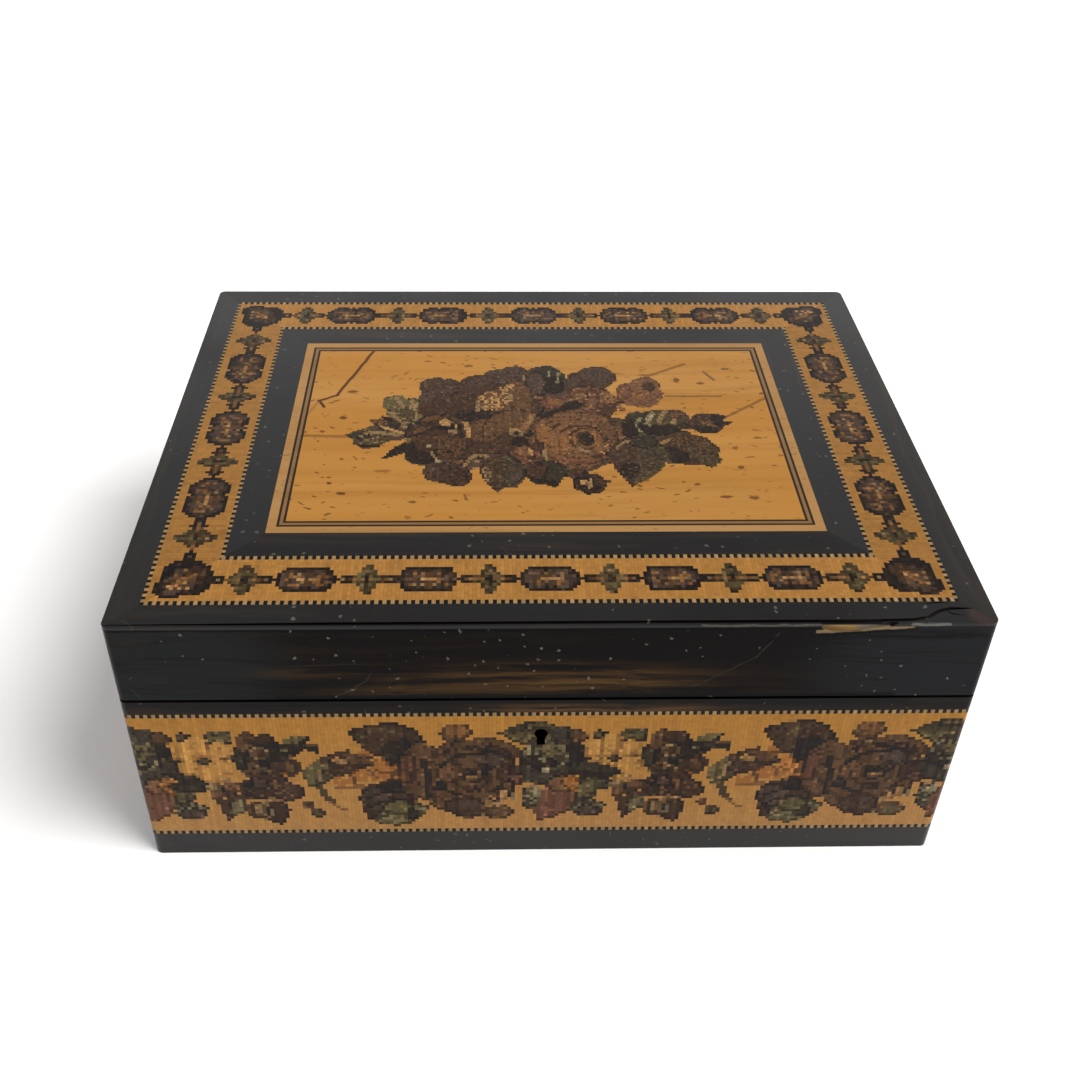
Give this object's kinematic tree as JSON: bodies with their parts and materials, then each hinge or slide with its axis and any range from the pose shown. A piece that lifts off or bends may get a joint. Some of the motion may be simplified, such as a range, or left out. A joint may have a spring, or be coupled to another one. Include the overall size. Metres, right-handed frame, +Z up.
{
  "type": "tunbridge ware jewelry box",
  "caption": "Rectangular wooden jewelry box with a hinged lid, dark veneer, end-grain floral mosaic bands and an inlaid bouquet on the lid.",
  "frame": {"origin": "middle of the underside, on the surface that the box stands on", "axes": "+X to the right seen from the front, +Y to the hinged back, +Z up"},
  "size_m": [0.24, 0.185, 0.097],
  "materials": {
    "coromandel": "near-black veneer with brown streaks, old polish",
    "mosaic": "end-grain mosaic of small square sticks, old polish",
    "bouquet": "end-grain mosaic of brown, red and green sticks, old polish",
    "satinwood": "pale golden panel with cracks and dents, old polish",
    "edging": "pale inlaid strip, old polish",
    "ebony": "thin dark inlaid line, old polish",
    "carcass": "plain softwood, aged and unpolished",
    "brass": "dull old brass"
  },
  "bodies": {
    "base": {"base_back_floral_mosaic": "mosaic", "base_back_plinth_veneer": "coromandel", "base_back_rail_veneer": "coromandel", "base_back_wall": "carcass", "base_bottom_board": "carcass", "base_front_floral_mosaic": "mosaic", "base_front_plinth_veneer": "coromandel", "base_front_rail_veneer": "coromandel", "base_front_wall": "carcass", "base_left_floral_mosaic": "mosaic", "base_left_plinth_veneer": "coromandel", "base_left_rail_veneer": "coromandel", "base_left_wall": "carcass", "base_right_floral_mosaic": "mosaic", "base_right_plinth_veneer": "coromandel", "base_right_rail_veneer": "coromandel", "base_right_wall": "carcass", "hinge_left_base_leaf": "brass", "hinge_left_pin": "brass", "hinge_right_base_leaf": "brass", "hinge_right_pin": "brass", "lock": "brass"},
    "lid": {"hinge_left_lid_leaf": "brass", "hinge_right_lid_leaf": "brass", "lid_back_cartouche_mosaic": "mosaic", "lid_back_crossbanding": "coromandel", "lid_back_inner_banding": "coromandel", "lid_back_veneer": "coromandel", "lid_back_wall": "carcass", "lid_bouquet_inlay": "bouquet", "lid_catch": "brass", "lid_front_cartouche_mosaic": "mosaic", "lid_front_crossbanding": "coromandel", "lid_front_inner_banding": "coromandel", "lid_front_veneer": "coromandel", "lid_front_wall": "carcass", "lid_inner_stringing": "ebony", "lid_left_cartouche_mosaic": "mosaic", "lid_left_crossbanding": "coromandel", "lid_left_inner_banding": "coromandel", "lid_left_veneer": "coromandel", "lid_left_wall": "carcass", "lid_light_edging": "edging", "lid_light_stripe": "edging", "lid_outer_stringing": "ebony", "lid_panel": "satinwood", "lid_right_cartouche_mosaic": "mosaic", "lid_right_crossbanding": "coromandel", "lid_right_inner_banding": "coromandel", "lid_right_veneer": "coromandel", "lid_right_wall": "carcass", "lid_top_board": "carcass"}
  },
  "joints": [
    {"name": "lid_hinge", "type": "hinge", "parent": "base", "child": "lid", "pos_m": [0, 0.09275, 0.0685], "axis": [-1, 0, 0], "range_deg": [0, 100]}
  ]
}
